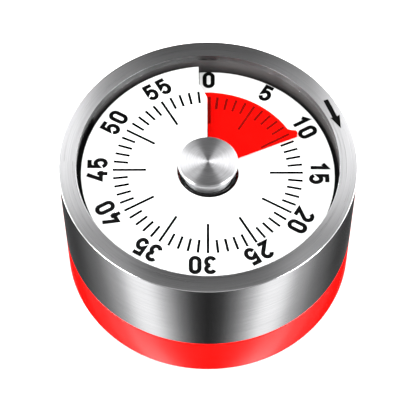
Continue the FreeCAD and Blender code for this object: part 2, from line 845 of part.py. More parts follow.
# Over the last sixth of its turn the outer edge drifts inwards, up to the root of the tip.
DRIFT_START = 62.0
DRIFT_END = 8.0
DRIFT_STEPS = 12
EDGE_MARGIN = 1.5
lead = dim("film_turn")
drift_loop = []
for step in range(DRIFT_STEPS + 1):
    share = step / DRIFT_STEPS
    offset = (DRIFT_START - DRIFT_END) * share - DRIFT_START
    drift_loop.append(clock(dim("film_r") - dim("film_drift") * share, lead + offset))
drift_loop.append(clock(value_of("film_r - film_drift"), lead + EDGE_MARGIN))
for offset in (EDGE_MARGIN, -20.0, -40.0, -DRIFT_START):
    drift_loop.append(clock(dim("film_r") + EDGE_MARGIN, lead + offset))
sketch = new_sketch(red_film, "XY_Plane")
draw_loop(sketch, drift_loop)
cut_through(red_film, sketch)
# Pointer tip at the leading edge: radius and clockwise angle from that edge.
TIP = [
    (25.3, -8.0), (25.9, -7.2), (26.25, -6.4), (26.8, -5.4),
    (27.65, -4.0), (27.75, -2.6), (27.1, -0.6), (25.3, -0.2),
]
sketch = new_sketch(red_film, "XY_Plane", f"{film_share:.5f}*dial_pitch")
draw_loop(sketch, [clock(radius, lead + offset) for radius, offset in TIP])
pad(red_film, sketch, "film_thick")
# The leading edge is a straight line that passes beside the centre.
EDGE_INNER = (7.0, -6.6)
EDGE_OUTER = (27.2, -0.2)
BEYOND_EDGE = [(27.0, 2.0), (7.0, 2.0)]
sketch = new_sketch(red_film, "XY_Plane")
edge_loop = [EDGE_INNER, EDGE_OUTER] + BEYOND_EDGE
draw_loop(sketch, [clock(radius, lead + offset) for radius, offset in edge_loop])
cut_through(red_film, sketch)

film_hub = new_body("film_hub", "film_hub_low")
round_pads(film_hub, [
    (["film_inner_r - 0.02", "neck_r + 0.2"], CENTRE, "0", "film_hub_height"),
    (["film_inner_r - 0.02", "hub_r + 0.2"], CENTRE, "0", "film_key_height"),
])
sketch = new_sketch(film_hub, "XY_Plane")
for angle in KEY_ANGLES:
    draw_loop(sketch, bar(groove_inner + 0.2, groove_outer, dim("key_half"), angle))
pad(film_hub, sketch, "film_key_height")

# ---------------------------------------------------------------- main wheel and ratchet
main_wheel = outline_pad(
    "main_wheel", tooth_outline(dim("main_teeth"), dim("main_module")), "wheel_thick",
    "main_wheel_z", turn=SECOND_ANGLE, bore="arbor_r + 0.05",
)
CLICK_RING = 9.0
CLICK_ANGLE = 102.0
click_spot = polar(CLICK_RING, CLICK_ANGLE)
drill(main_wheel, "click_pivot_r + 0.05", [polar(CLICK_RING, CLICK_ANGLE - SECOND_ANGLE)])

# Saw teeth: each face drops almost straight in and then climbs to the next tip.
RATCHET_TEETH = 12
TOOTH_DEPTH = 1.1
FACE_LEAN = 2.0
ratchet_points = []
for tooth in range(RATCHET_TEETH):
    angle = 360.0 * tooth / RATCHET_TEETH
    ratchet_points.append(polar(dim("ratchet_r"), angle))
    ratchet_points.append(polar(dim("ratchet_r") - TOOTH_DEPTH, angle + FACE_LEAN))
outline_pad("ratchet_wheel", ratchet_points, "wheel_thick", "ratchet_z", bore="arbor_r")

click_stud_height = "main_wheel_z - ratchet_z + wheel_thick - 0.05"
turned("click_stud", [
    ("0", "0"),
    ("click_pivot_r", "0"),
    ("click_pivot_r", click_stud_height),
    ("0", click_stud_height),
], "ratchet_z", spot=click_spot)

# The click is drawn along +X from its pivot and turned towards the tooth it rests on.
CLICK_DEPTH = 0.45
CLICK_SEAT_ANGLE = 62.2
click_target = polar(dim("ratchet_r") - CLICK_DEPTH, CLICK_SEAT_ANGLE)
click_length = math.dist(click_spot, click_target)
click = new_body("ratchet_click", "ratchet_z", click_spot, heading(click_spot, click_target))
sketch = new_sketch(click, "XY_Plane")
draw_circles(sketch, "2*click_pivot_r", CENTRE)
draw_circles(sketch, "click_pivot_r + 0.1", CENTRE)
pad(click, sketch, "wheel_thick - 0.1")
ARM_ROOT = 1.15
NOSE_LENGTH = 1.2
sketch = new_sketch(click, "XY_Plane")
draw_loop(sketch, [
    (ARM_ROOT, -0.7), (click_length - NOSE_LENGTH, -0.25), (click_length, -0.08),
    (click_length, 0.15), (click_length - NOSE_LENGTH, 0.6), (ARM_ROOT, 0.8),
])
pad(click, sketch, "wheel_thick - 0.1")

# ---------------------------------------------------------------- gear train
def train_pinion(name, spot, driver, driver_spot):
    """A pinion and its arbor, with a gap between teeth facing the wheel that drives it."""
    turn = heading(spot, driver_spot) + 180.0 / dim("pinion_teeth")
    pinion = new_body(f"{name}_pinion", "lower_plate_z", spot, turn)
    sketch = new_sketch(pinion, "XY_Plane", f"{driver}_wheel_z - pinion_margin - lower_plate_z")
    draw_loop(sketch, tooth_outline(dim("pinion_teeth"), dim(f"{driver}_module")))
    pad(pinion, sketch, "pinion_height")
    round_pads(pinion, [
        (["train_arbor_r"], CENTRE, "plate_thick + 0.2",
         "upper_plate_z - lower_plate_z - plate_thick - 0.4"),
        (["train_arbor_r - pivot_step"], CENTRE, "0.1",
         "upper_plate_z - lower_plate_z + plate_thick - 0.2"),
    ])


def train_wheel(name, spot, next_spot):
    """A spur wheel with its first tooth pointing at the pinion it drives."""
    outline_pad(
        f"{name}_wheel", tooth_outline(dim(f"{name}_teeth"), dim(f"{name}_module")),
        "wheel_thick", f"{name}_wheel_z", spot, heading(spot, next_spot),
        bore="train_arbor_r",
    )


train_pinion("second", second_spot, "main", (0.0, 0.0))
train_wheel("second", second_spot, third_spot)
train_pinion("third", third_spot, "second", second_spot)
train_wheel("third", third_spot, escape_spot)
train_pinion("escape", escape_spot, "third", third_spot)

ESCAPE_TOOTH_HALF = 0.9
ESCAPE_ROOT_HALF = 3.5
escape_root_r = value_of("escape_r - 1.5")
escape_step = 360.0 / dim("escape_teeth")
escape_points = []
for tooth in range(int(dim("escape_teeth"))):
    angle = escape_step * tooth
    escape_points += [
        polar(dim("escape_r"), angle - ESCAPE_TOOTH_HALF),
        polar(dim("escape_r"), angle + ESCAPE_TOOTH_HALF),
        polar(escape_root_r, angle + ESCAPE_ROOT_HALF),
        polar(escape_root_r, angle + escape_step - ESCAPE_ROOT_HALF),
    ]
outline_pad(
    "escape_wheel", escape_points, "pallet_thick", "escape_z", escape_spot,
    heading(escape_spot, balance_spot), bore="train_arbor_r",
)

# ---------------------------------------------------------------- balance and pallets
pallet_arm = dim("escape_r") * math.tan(pallet_half_span)
to_escape = heading(balance_spot, escape_spot)
PIN_CLEARANCE = 0.06
pin_lift = math.degrees(math.atan((dim("pallet_pin_r") + PIN_CLEARANCE) / pallet_arm))
arm_tilt = 90.0 - dim("pallet_span") / 2 + pin_lift
pin_spots = [polar(pallet_arm, side * arm_tilt) for side in (-1.0, 1.0)]
pivot_r = "train_arbor_r - pivot_step"
turned("balance_staff", [
    ("0", "0"),
    (pivot_r, "0"),
    (pivot_r, "plate_thick + 0.1"),
    ("train_arbor_r", "plate_thick + 0.1"),
    ("train_arbor_r", "upper_plate_z - lower_plate_z - 0.3"),
    (pivot_r, "upper_plate_z - lower_plate_z - 0.3"),
    (pivot_r, "upper_plate_z - lower_plate_z + plate_thick - 0.2"),
    ("0", "upper_plate_z - lower_plate_z + plate_thick - 0.2"),
], "lower_plate_z + 0.1", spot=balance_spot)
# The lever is symmetrical about its own +X, which points at the escape wheel.
lever = new_body("pallet_lever", "escape_z + pallet_thick + 0.3", balance_spot, to_escape)
tip_x, tip_y = pin_spots[1]
ARM_HALF = 0.8
upper_half = [
    (tip_x + ARM_HALF, tip_y), (tip_x - ARM_HALF / 2, tip_y + ARM_HALF), (0.6, 2.0), (-1.8, 1.4),
]
lower_half = [(x, -y) for x, y in reversed(upper_half)]
sketch = new_sketch(lever, "XY_Plane")
draw_loop(sketch, lower_half + [(2.2, 0.0)] + upper_half)
draw_circles(sketch, "train_arbor_r", CENTRE)
draw_circles(sketch, "pallet_pin_r", pin_spots)
pad(lever, sketch, "pallet_thick")
pins = new_body("pallet_pins", "escape_z - 0.1", balance_spot, to_escape)
round_pads(pins, [(["pallet_pin_r"], pin_spots, "0", "2*pallet_thick + 0.4")])
balance = new_body("balance_wheel", "balance_z", balance_spot, to_escape)
BALANCE_BOSS_R = "1.8"
SPOKE_HALF = 0.6
round_pads(balance, [
    (["balance_r", "balance_r - balance_rim"], CENTRE, "0", "balance_thick"),
    ([BALANCE_BOSS_R, "train_arbor_r"], CENTRE, "0", "balance_thick"),
])
spoke_inner = value_of(BALANCE_BOSS_R + " - 0.3")
spoke_outer = value_of("balance_r - balance_rim + 0.4")
sketch = new_sketch(balance, "XY_Plane")
for angle in (0.0, 180.0):
    draw_loop(sketch, bar(spoke_inner, spoke_outer, SPOKE_HALF, angle))
pad(balance, sketch, "balance_thick - 0.3")

# ---------------------------------------------------------------- mainspring
SPRING_TURNS = 6.0
SPRING_STEPS = 180
spring_inner_r = value_of("arbor_r + 0.35")


def spiral_point(fraction, offset):
    """Point on the coil, from the arbor outwards to the anchor post."""
    reach = dim("spring_outer_r") - spring_inner_r
    radius = spring_inner_r + reach * fraction + offset
    return polar(radius, SPRING_ANCHOR_ANGLE - 360.0 * SPRING_TURNS * (1.0 - fraction))


fractions = [step / SPRING_STEPS for step in range(SPRING_STEPS + 1)]
inner_line = [spiral_point(fraction, 0.0) for fraction in fractions]
outer_line = [spiral_point(fraction, dim("spring_strip")) for fraction in fractions]
outline_pad("mainspring", inner_line + outer_line[::-1], "spring_height", "spring_z")
post_height = "spring_z + spring_height - lower_plate_z + 0.3"
turned("spring_post", [
    ("0", "0"),
    ("spring_post_r", "0"),
    ("spring_post_r", post_height),
    ("0", post_height),
], "lower_plate_z", spot=spring_post_spot)

# ---------------------------------------------------------------- strike work
# The cam's nose passes the hammer's tail over the last minute before 0 and lets it drop.
STRIKE_LEAD = 6.3
NOSE_HALF = 1.5
NOSE_ROOT_HALF = 2.6
CAM_STEP = 10.0
nose_angle = dim("hammer_pivot_angle") - dim("setting") + STRIKE_LEAD
cam_points = [polar(dim("cam_r"), nose_angle + CAM_STEP * step) for step in range(1, 36)]
cam_points += [
    polar(dim("cam_r"), nose_angle - NOSE_ROOT_HALF),
    polar(dim("cam_nose_r"), nose_angle - NOSE_HALF),
    polar(dim("cam_nose_r"), nose_angle + NOSE_HALF),
    polar(dim("cam_r"), nose_angle + NOSE_ROOT_HALF),
]
outline_pad("strike_cam", cam_points, "strike_thick", "cam_z", bore="arbor_r")

# The hammer is drawn with its arm along +X; the tail reaches back to the cam.
hammer_arm = math.dist(hammer_pivot, hammer_tip)
arm_heading = heading(hammer_pivot, hammer_tip)
tail_heading = heading(hammer_pivot, (0.0, 0.0)) - arm_heading
tail_length = value_of("hammer_pivot_ring - cam_nose_r + strike_bite")
hammer = new_body("hammer_lever", "cam_z", hammer_pivot, arm_heading)
HAMMER_BOSS_R = "2.0"
HAMMER_ARM_HALF = 0.9
arm_start = value_of(HAMMER_BOSS_R + " - 0.4")
sketch = new_sketch(hammer, "XY_Plane")
draw_circles(sketch, HAMMER_BOSS_R, CENTRE)
draw_circles(sketch, "hammer_stud_r + 0.05", CENTRE)
pad(hammer, sketch, "strike_thick")
sketch = new_sketch(hammer, "XY_Plane")
draw_loop(sketch, bar(arm_start, hammer_arm + 2 * dim("hammer_rod_r"), HAMMER_ARM_HALF, 0.0))
draw_circles(sketch, "hammer_rod_r", [(hammer_arm, 0.0)])
pad(hammer, sketch, "strike_thick")
TAIL_ROOT_HALF = 0.75
TAIL_TIP_HALF = 0.25
tail_root = bar(arm_start, tail_length, TAIL_ROOT_HALF, tail_heading)
tail_tip = bar(arm_start, tail_length, TAIL_TIP_HALF, tail_heading)
sketch = new_sketch(hammer, "XY_Plane")
draw_loop(sketch, [tail_root[0], tail_tip[1], tail_tip[2], tail_root[3]])
pad(hammer, sketch, "strike_thick")
rod_length = "cam_z + strike_thick - bell_low - 2.0"
turned("hammer_rod", [
    ("0", "0"),
    ("hammer_rod_r", "0"),
    ("hammer_rod_r", rod_length),
    ("0", rod_length),
], "bell_low + 2.0", spot=hammer_tip)
turned("hammer_head", [
    ("hammer_rod_r", "0"),
    ("hammer_head_r - 0.4", "0"),
    ("hammer_head_r", "0.4"),
    ("hammer_head_r", "hammer_head_height - 0.4"),
    ("hammer_head_r - 0.4", "hammer_head_height"),
    ("hammer_rod_r", "hammer_head_height"),
], "bell_low + 2.4", spot=hammer_tip)
COLLAR_THICK = "0.7"
stud_height = "upper_plate_z + plate_thick - cam_z + 0.8"
turned("hammer_stud", [
    ("0", "0"),
    ("hammer_stud_r + 0.7", "0"),
    ("hammer_stud_r + 0.7", COLLAR_THICK),
    ("hammer_stud_r", COLLAR_THICK),
    ("hammer_stud_r", stud_height),
    ("0", stud_height),
], "cam_z - 0.8", spot=hammer_pivot)

# ---------------------------------------------------------------- check and write
doc.recompute()
for item in doc.Objects:
    if "Invalid" in item.State or "Error" in item.State:
        raise RuntimeError(f"{item.Name}: {item.State}")
for part in parts:
    shape = part.Shape
    if shape.isNull() or not shape.isValid() or shape.Volume <= 0.0:
        raise RuntimeError(f"{part.Label}: not a sound solid")
    box = shape.BoundBox
    print(f"{part.Label:22s} solids {len(shape.Solids):2d} volume {shape.Volume:10.2f} "
          f"z {box.ZMin:7.2f} {box.ZMax:7.2f} x {box.XMin:7.2f} {box.XMax:7.2f}")
    shape.exportStep(f"parts/{part.Label}.step")
print(len(parts), "parts written")
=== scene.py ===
import json
import math

import bmesh
import bpy
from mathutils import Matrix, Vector


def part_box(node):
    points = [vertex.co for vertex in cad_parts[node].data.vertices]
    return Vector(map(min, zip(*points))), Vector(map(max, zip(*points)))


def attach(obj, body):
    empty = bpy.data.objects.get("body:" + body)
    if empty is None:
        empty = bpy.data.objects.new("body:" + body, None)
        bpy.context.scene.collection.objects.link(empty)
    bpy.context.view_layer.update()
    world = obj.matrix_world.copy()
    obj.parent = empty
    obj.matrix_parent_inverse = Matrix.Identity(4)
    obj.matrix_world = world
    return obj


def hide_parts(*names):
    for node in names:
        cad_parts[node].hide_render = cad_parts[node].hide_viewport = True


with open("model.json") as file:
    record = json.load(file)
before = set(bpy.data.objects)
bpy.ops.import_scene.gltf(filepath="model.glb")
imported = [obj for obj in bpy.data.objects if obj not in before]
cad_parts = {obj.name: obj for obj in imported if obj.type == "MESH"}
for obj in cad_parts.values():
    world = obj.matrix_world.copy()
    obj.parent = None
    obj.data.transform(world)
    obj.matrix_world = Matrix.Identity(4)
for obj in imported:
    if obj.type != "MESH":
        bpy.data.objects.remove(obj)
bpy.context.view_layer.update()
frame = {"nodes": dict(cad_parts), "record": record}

MM = 0.001
FULL_TURN = 360.0
# Direction of +Y, where clockwise angles start, in degrees from +X.
Y_WAY = 90.0

# ------------------------------------------------------------------ sizes from the CAD frame


def top(node):
    """Highest level of a CAD node, in millimetres."""
    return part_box(node)[1].z / MM


def low(node):
    """Lowest level of a CAD node, in millimetres."""
    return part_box(node)[0].z / MM


def reach(node):
    """Largest distance of a CAD node from the axis along X or Y, in millimetres."""
    lo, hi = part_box(node)
    return max(hi.x, hi.y, -lo.x, -lo.y) / MM


body_r = reach("steel_sleeve")
total_top = top("steel_sleeve")
sleeve_low = low("steel_sleeve")
window_low = low("window")
window_top = top("window")
dial_r = reach("dial_plate")
dial_high = top("dial_plate")
PITCH = 2.8
DIAL_THICK = 0.5
dial_low = dial_high - PITCH
DIAL_INNER = 8.3
FILM_LIFT = 0.2
FILM_THICK = 0.3
FILM_R = 26.8
FILM_INNER = reach("film_hub")
FILM_TURN = 355.0
SETTING = 64.5
LINER_INNER = 35.5
LINER_THICK = 0.8
LINER_GAP = (242.0, 298.0)
INK_LIFT = 0.02
INK_THICK = 0.03
RIM_INK_LIFT = 0.015
# Print past this clockwise angle belongs to the 0 mark and lies on the dial's low side.
LAST_PRINT = 355.5
# Bonded pieces stand this far apart.
GLUE_GAP = 0.03
# Roundings of moulded and turned edges.
EDGE_FINE = 0.08
EDGE_SMALL = 0.1
EDGE = 0.15
EDGE_WIDE = 0.2
SMOOTH_ANGLE = 30.0
RIM_INNER = 35.2

# ------------------------------------------------------------------ mesh helpers


def smooth_faces(mesh):
    """Shade a mesh smooth, with its sharp edges kept."""
    for face in mesh.polygons:
        face.use_smooth = True
    mesh.set_sharp_from_angle(angle=math.radians(SMOOTH_ANGLE))


def new_object(name, points, faces):
    """A mesh piece from points in millimetres."""
    mesh = bpy.data.meshes.new(name)
    mesh.from_pydata([(x * MM, y * MM, z * MM) for x, y, z in points], [], faces)
    mesh.validate()
    mesh.update()
    piece = bpy.data.objects.new(name, mesh)
    bpy.context.scene.collection.objects.link(piece)
    smooth_faces(mesh)
    return piece


def rounded(corners, steps=5):
    """A closed profile with each (r, z, radius) corner rounded."""
    profile = []
    count = len(corners)
    for index, (r, z, size) in enumerate(corners):
        if size <= 0.0:
            profile.append((r, z))
            continue
        before = corners[index - 1]
        after = corners[(index + 1) % count]
        way_in = (before[0] - r, before[1] - z)
        way_out = (after[0] - r, after[1] - z)
        len_in = math.hypot(*way_in)
        len_out = math.hypot(*way_out)
        u = (way_in[0] / len_in, way_in[1] / len_in)
        v = (way_out[0] / len_out, way_out[1] / len_out)
        cosine = max(-1.0, min(1.0, u[0] * v[0] + u[1] * v[1]))
        half = math.acos(cosine) / 2.0
        back = size / math.tan(half)
        start = (r + u[0] * back, z + u[1] * back)
        mid = (u[0] + v[0], u[1] + v[1])
        mid_len = math.hypot(*mid)
        centre_dist = size / math.sin(half)
        centre = (r + mid[0] / mid_len * centre_dist, z + mid[1] / mid_len * centre_dist)
        a0 = math.atan2(start[1] - centre[1], start[0] - centre[0])
        end = (r + v[0] * back, z + v[1] * back)
        a1 = math.atan2(end[1] - centre[1], end[0] - centre[0])
        turn = (a1 - a0 + math.pi) % (2 * math.pi) - math.pi
        for step in range(steps + 1):
            angle = a0 + turn * step / steps
            profile.append((centre[0] + size * math.cos(angle), centre[1] + size * math.sin(angle)))
    return profile


def revolve(name, corners, segments=256, start=0.0, sweep=FULL_TURN, steps=5):
    """A ring or disc: a closed profile revolved about the axis, clockwise from +Y."""
    profile = rounded(corners, steps)
    full = abs(sweep - FULL_TURN) < TINY
    columns = segments if full else segments + 1
    points = []
    for column in range(columns):
        angle = math.radians(Y_WAY - start - sweep * column / segments)
        for r, z in profile:
            points.append((r * math.cos(angle), r * math.sin(angle), z))
    count = len(profile)
    faces = []
    for column in range(segments):
        here = column * count
        there = ((column + 1) % columns) * count
        for index in range(count):
            after = (index + 1) % count
            quad = (here + index, here + after, there + after, there + index)
            on_axis_a = profile[index][0] < TINY
            on_axis_b = profile[after][0] < TINY
            if on_axis_a and on_axis_b:
                continue
            if on_axis_a:
                faces.append((quad[0], quad[1], quad[2]))
            elif on_axis_b:
                faces.append((quad[0], quad[1], quad[3]))
            else:
                faces.append(quad)
    if not full:
        faces.append(tuple(range(count)))
        faces.append(tuple(reversed(range((columns - 1) * count, columns * count))))
    piece = new_object(name, points, faces)
    return tidy_mesh(piece)


# Points closer than this, in metres, are one point.
WELD = 1e-7
# Lengths below this, in millimetres, count as none.
TINY = 1e-6


def tidy_mesh(piece):
    """Merge doubled points and make all faces look outwards."""
    work = bmesh.new()
    work.from_mesh(piece.data)
    bmesh.ops.remove_doubles(work, verts=work.verts, dist=WELD)
    bmesh.ops.recalc_face_normals(work, faces=work.faces)
    work.to_mesh(piece.data)
    work.free()
    smooth_faces(piece.data)
    return piece


def clock_xy(radius, degrees):
    """Plan position at a clockwise angle from the 0-minute mark."""
    angle = math.radians(Y_WAY - degrees)
    return radius * math.cos(angle), radius * math.sin(angle)


def sheet_grid(name, rows, columns, place, thick):
    """A closed sheet: place(row, column) gives a point on its upper side."""
    points = []
    for drop in (0.0, thick):
        for row in range(rows + 1):
            for column in range(columns + 1):
                x, y, z = place(row / rows, column / columns)
                points.append((x, y, z - drop))
    layer = (rows + 1) * (columns + 1)

    def at(row, column, side):
        return side * layer + row * (columns + 1) + column

    faces = []
    for row in range(rows):
        for column in range(columns):
            quad = [(row, column), (row + 1, column), (row + 1, column + 1), (row, column + 1)]
            faces.append(tuple(at(r, c, 0) for r, c in quad))
            faces.append(tuple(at(r, c, 1) for r, c in reversed(quad)))
    for row in range(rows):
        for column in (0, columns):
            faces.append((at(row, column, 0), at(row + 1, column, 0),
                          at(row + 1, column, 1), at(row, column, 1)))
    for column in range(columns):
        for row in (0, rows):
            faces.append((at(row, column, 0), at(row, column + 1, 0),
                          at(row, column + 1, 1), at(row, column, 1)))
    return tidy_mesh(new_object(name, points, faces))


# ------------------------------------------------------------------ materials


def material(name):
    """A new node material and its main shader."""
    mat = bpy.data.materials.new(name)
    mat.use_nodes = True
    shader = mat.node_tree.nodes["Principled BSDF"]
    return mat, mat.node_tree, shader


def node(tree, kind, **values):
    """A node with its input defaults set by name."""
    made = tree.nodes.new(kind)
    for key, value in values.items():
        made.inputs[key.replace("_", " ")].default_value = value
    return made


def math_node(tree, operation, a, b=None):
    """A math node fed by sockets or plain numbers."""
    made = tree.nodes.new("ShaderNodeMath")
    made.operation = operation
    for index, source in enumerate((a, b)):
        if source is None:
            continue
        if isinstance(source, (int, float)):
            made.inputs[index].default_value = source
        else:
            tree.links.new(source, made.inputs[index])
    return made.outputs[0]


def span(tree, source, first, last, start=0.0, end=1.0):
    """A value carried from start..end to first..last and held outside."""
    made = tree.nodes.new("ShaderNodeMapRange")
    made.inputs["From Min"].default_value = start
    made.inputs["From Max"].default_value = end
    made.inputs["To Min"].default_value = first
    made.inputs["To Max"].default_value = last
    tree.links.new(source, made.inputs["Value"])
    return made.outputs[0]


def mixed(tree, share, first, second, blend_type="MIX"):
    """Two colours mixed by a share, which is a socket or a plain number."""
    made = tree.nodes.new("ShaderNodeMixRGB")
    made.blend_type = blend_type
    if isinstance(share, float):
        made.inputs["Fac"].default_value = share
    else:
        tree.links.new(share, made.inputs["Fac"])
    tree.links.new(first, made.inputs["Color1"])
    tree.links.new(second, made.inputs["Color2"])
    return made.outputs["Color"]


def ramp(tree, source, stops):
    """A colour ramp over (place, colour) stops."""
    made = tree.nodes.new("ShaderNodeValToRGB")
    band = made.color_ramp
    while len(band.elements) < len(stops):
        band.elements.new(0.5)
    for element, (place, colour) in zip(band.elements, stops):
        element.position = place
        element.color = (*colour, 1.0)
    tree.links.new(source, made.inputs["Fac"])
    return made.outputs["Color"]


def round_coordinates(tree, across, around, up):
    """Coordinates that run round the axis: radius, angle and height, each scaled."""
    place = tree.nodes.new("ShaderNodeTexCoord").outputs["Object"]
    split = tree.nodes.new("ShaderNodeSeparateXYZ")
    tree.links.new(place, split.inputs[0])
    x, y, z = split.outputs
    square = math_node(tree, "ADD", math_node(tree, "MULTIPLY", x, x),
                       math_node(tree, "MULTIPLY", y, y))
    radius = math_node(tree, "SQRT", square)
    angle = math_node(tree, "ARCTAN2", y, x)
    join = tree.nodes.new("ShaderNodeCombineXYZ")
    tree.links.new(math_node(tree, "MULTIPLY", radius, across), join.inputs[0])
    tree.links.new(math_node(tree, "MULTIPLY", angle, around), join.inputs[1])
    tree.links.new(math_node(tree, "MULTIPLY", z, up), join.inputs[2])
    return join.outputs[0]


def noise(tree, scale, detail=3.0, vector=None, roughness=0.6):
    """A noise texture's value in object space, or along a given vector."""
    made = node(tree, "ShaderNodeTexNoise", Scale=scale, Detail=detail, Roughness=roughness)
    if vector is None:
        vector = tree.nodes.new("ShaderNodeTexCoord").outputs["Object"]
    tree.links.new(vector, made.inputs["Vector"])
    return made.outputs["Fac"]


def bump(tree, shader, height, strength, distance):
    """Fine relief on a shader."""
    made = node(tree, "ShaderNodeBump", Strength=strength, Distance=distance)
    tree.links.new(height, made.inputs["Height"])
    tree.links.new(made.outputs["Normal"], shader.inputs["Normal"])
    return made


def outwardness(tree, normal):
    """Radius in metres on a wall that faces outwards, minus the radius on one facing the axis."""
    flat = tree.nodes.new("ShaderNodeVectorMath")
    flat.operation = "MULTIPLY"
    flat.inputs[1].default_value = (1.0, 1.0, 0.0)
    tree.links.new(tree.nodes.new("ShaderNodeTexCoord").outputs["Object"], flat.inputs[0])
    outward = tree.nodes.new("ShaderNodeVectorMath")
    outward.operation = "DOT_PRODUCT"
    tree.links.new(flat.outputs[0], outward.inputs[0])
    tree.links.new(normal, outward.inputs[1])
    return outward.outputs["Value"]


# A quarter turn of the anisotropy lays the grooves round the axis.
QUARTER_TURN = 0.25
# Walls facing the axis at more than about this radius, in metres, count as inner walls.
INNER_WALL = (-0.030, -0.015)
INNER_ROUGHER = 0.6
GROOVE_STRETCH = 1.2
GROOVE_DEPTH = 0.06
SKIN_DEPTH = 0.00002


def spun_metal(name, dark, light, rough_low, rough_high, anisotropy, lines, wall_share=1.0,
               inner_wall_shade=1.0):
    """Metal brushed round the axis; upright walls can be smoother, and walls facing the axis are
    rougher and carry painted shade, their colour multiplied down by a share.
    """
    mat, tree, shader = material(name)
    shader.inputs["Metallic"].default_value = 1.0
    shader.inputs["Anisotropic"].default_value = anisotropy
    shader.inputs["Anisotropic Rotation"].default_value = QUARTER_TURN
    tangent = tree.nodes.new("ShaderNodeTangent")
    tangent.direction_type = "RADIAL"
    tangent.axis = "Z"
    tree.links.new(tangent.outputs[0], shader.inputs["Tangent"])
    grain = noise(tree, 1.0, 4.0, round_coordinates(tree, lines, GROOVE_STRETCH, lines))
    normal = tree.nodes.new("ShaderNodeNewGeometry").outputs["Normal"]
    outward = outwardness(tree, normal)
    # Painted shade: walls facing the axis have their metal colour multiplied down by this share,
    # darkening the rim's inner lip.
    painted_inner_shade = span(tree, outward, inner_wall_shade, 1.0, *INNER_WALL)
    metal_colour = ramp(tree, grain, [(0.3, dark), (0.7, light)])
    tree.links.new(mixed(tree, 1.0, metal_colour, painted_inner_shade, "MULTIPLY"), shader.inputs["Base Color"])
    rough = span(tree, grain, rough_low, rough_high)
    facing = tree.nodes.new("ShaderNodeSeparateXYZ")
    tree.links.new(normal, facing.inputs[0])
    upright = math_node(tree, "ABSOLUTE", facing.outputs[2])
    smoother = span(tree, upright, wall_share, 1.0)
    inner_rough = 1.0 / max(wall_share, inner_wall_shade) + INNER_ROUGHER
    rougher = span(tree, outward, inner_rough, 1.0, *INNER_WALL)
    finish = math_node(tree, "MULTIPLY", rough, smoother)
    finish = math_node(tree, "MULTIPLY", finish, rougher)
    tree.links.new(finish, shader.inputs["Roughness"])
    bump(tree, shader, grain, GROOVE_DEPTH, SKIN_DEPTH)
    return mat


DRIFT_SCALE = 60.0
ROUGH_SPREAD = 0.05
LEAST_ROUGH = 0.02


def moulded(name, colour, roughness, grain_scale=900.0, relief=0.05, variation=0.04, shine=0.5):
    """Moulded plastic or rubber with a fine skin and a faint colour drift."""
    mat, tree, shader = material(name)
    shader.inputs["Specular IOR Level"].default_value = shine
    drift = noise(tree, DRIFT_SCALE, 2.0)
    darker = tuple(max(0.0, c * (1.0 - variation)) for c in colour)
    lighter = tuple(min(1.0, c * (1.0 + variation)) for c in colour)
    tree.links.new(ramp(tree, drift, [(0.35, darker), (0.65, lighter)]),
                   shader.inputs["Base Color"])
    skin = noise(tree, grain_scale, 2.0)
    least = max(LEAST_ROUGH, roughness - ROUGH_SPREAD)
    rough = span(tree, skin, least, roughness + ROUGH_SPREAD)
    tree.links.new(rough, shader.inputs["Roughness"])
    bump(tree, shader, skin, relief, SKIN_DEPTH)
    return mat


def metal(name, colour, roughness, grain_scale=500.0):
    """Plain machined metal with fine wear in its finish."""
    mat = moulded(name, colour, roughness, grain_scale, 0.08, 0.10)
    mat.node_tree.nodes["Principled BSDF"].inputs["Metallic"].default_value = 1.0
    return mat


def see_through(tree, share, tint, surface):
    """Send a tinted straight-through part and a surface part, by share, to the output."""
    through = tree.nodes.new("ShaderNodeBsdfTransparent")
    through.inputs[0].default_value = (*tint, 1.0)
    mix = tree.nodes.new("ShaderNodeMixShader")
    if isinstance(share, float):
        mix.inputs[0].default_value = share
    else:
        tree.links.new(share, mix.inputs[0])
    tree.links.new(through.outputs[0], mix.inputs[1])
    tree.links.new(surface, mix.inputs[2])
    tree.links.new(mix.outputs[0], tree.nodes["Material Output"].inputs["Surface"])


SHEEN_AHEAD = 0.02
SHEEN_GRAZING = 0.35
GRAZING_POWER = 5.0


def clear_sheet(name, tint):
    """Clear window: light goes straight through, with a faint sheen on top."""
    mat, tree, shader = material(name)
    shader.inputs["Base Color"].default_value = (0.9, 0.92, 0.93, 1.0)
    shader.inputs["Roughness"].default_value = 0.03
    shine = node(tree, "ShaderNodeBsdfGlossy", Roughness=0.02)
    haze = noise(tree, 120.0, 2.0)
    tree.links.new(ramp(tree, haze, [(0.3, (0.9, 0.9, 0.9)), (0.7, (1.0, 1.0, 1.0))]),
                   shine.inputs["Color"])
    edge = node(tree, "ShaderNodeLayerWeight", Blend=0.5)
    grazing = math_node(tree, "POWER", edge.outputs["Facing"], GRAZING_POWER)
    share = math_node(tree, "ADD", math_node(tree, "MULTIPLY", grazing, SHEEN_GRAZING),
                      SHEEN_AHEAD)
    see_through(tree, share, tint, shine.outputs[0])
    return mat


FILM_TINT = (0.98, 0.09, 0.03)
FILM_BODY = 0.11


def film_sheet(name):
    """Translucent red sheet: it tints what is under it and glows on its own."""
    mat, tree, shader = material(name)
    shader.inputs["Roughness"].default_value = 0.35
    mottle = noise(tree, 150.0, 3.0)
    tree.links.new(ramp(tree, mottle, [(0.35, (0.91, 0.010, 0.003)), (0.65, (0.95, 0.016, 0.006))]),
                   shader.inputs["Base Color"])
    skin = noise(tree, 1200.0, 2.0)
    bump(tree, shader, skin, 0.04, 0.00001)
    see_through(tree, FILM_BODY, FILM_TINT, shader.outputs[0])
    return mat


